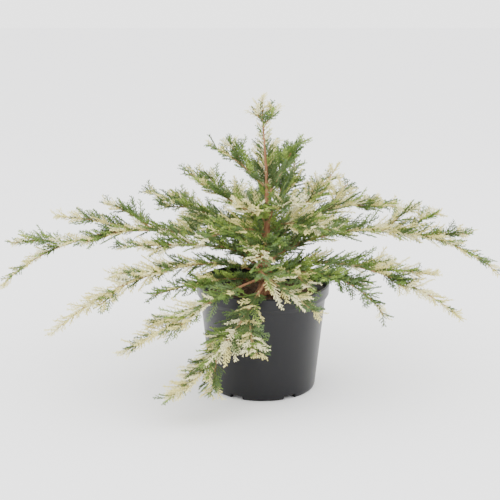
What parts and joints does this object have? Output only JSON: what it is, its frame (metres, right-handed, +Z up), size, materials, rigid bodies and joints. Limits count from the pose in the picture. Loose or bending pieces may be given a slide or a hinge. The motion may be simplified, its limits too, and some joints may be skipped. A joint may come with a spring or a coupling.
{
  "type": "potted variegated creeping juniper",
  "caption": "Creeping juniper with green and cream variegated sprays on long spreading shoots, in a round black nursery pot.",
  "frame": {"origin": "centre of the flat underside of the pot", "axes": "+Z up, +X along the longest shoots, -Y towards the side that the low shoots hang over"},
  "size_m": [0.6495, 0.4025, 0.376],
  "materials": {
    "pot_plastic": "satin",
    "compost": "matte",
    "bark": "matte",
    "foliage_green": "matte",
    "foliage_cream": "matte"
  },
  "bodies": {
    "root": {"pot": "pot_plastic", "soil": "compost", "trunk": "bark", "bough_left_long": "bark", "foliage_left_long": "foliage_green", "bough_left_front": "bark", "foliage_left_front": "foliage_cream", "bough_left_middle": "bark", "foliage_left_middle": "foliage_green", "bough_left_low": "bark", "foliage_left_low": "foliage_green", "bough_left_rising": "bark", "foliage_left_rising": "foliage_green", "bough_left_upper": "bark", "foliage_left_upper": "foliage_green", "bough_right_long": "bark", "foliage_right_long": "foliage_green", "bough_right_back": "bark", "foliage_right_back": "foliage_green", "bough_right_front": "bark", "foliage_right_front": "foliage_cream", "bough_right_low": "bark", "foliage_right_low": "foliage_green", "bough_right_upper": "bark", "foliage_right_upper": "foliage_cream", "bough_right_tall": "bark", "foliage_right_tall": "foliage_green", "bough_front_hanging": "bark", "foliage_front_hanging": "foliage_cream", "bough_front_left": "bark", "foliage_front_left": "foliage_cream", "bough_front_right": "bark", "foliage_front_right": "foliage_green", "bough_front_low_right": "bark", "foliage_front_low_right": "foliage_green", "bough_back_right": "bark", "foliage_back_right": "foliage_green", "bough_back_middle": "bark", "foliage_back_middle": "foliage_cream", "bough_back_left": "bark", "foliage_back_left": "foliage_green", "bough_back_rising": "bark", "foliage_back_rising": "foliage_green", "foliage_leader_left": "foliage_green", "foliage_leader_right": "foliage_green", "foliage_leader_back": "foliage_green", "foliage_leader_tip": "foliage_cream", "foliage_upright_front_left": "foliage_cream", "foliage_upright_front_right": "foliage_cream", "foliage_heart_front": "foliage_green", "foliage_heart_front_left": "foliage_green", "foliage_heart_front_right": "foliage_green"}
  },
  "joints": []
}
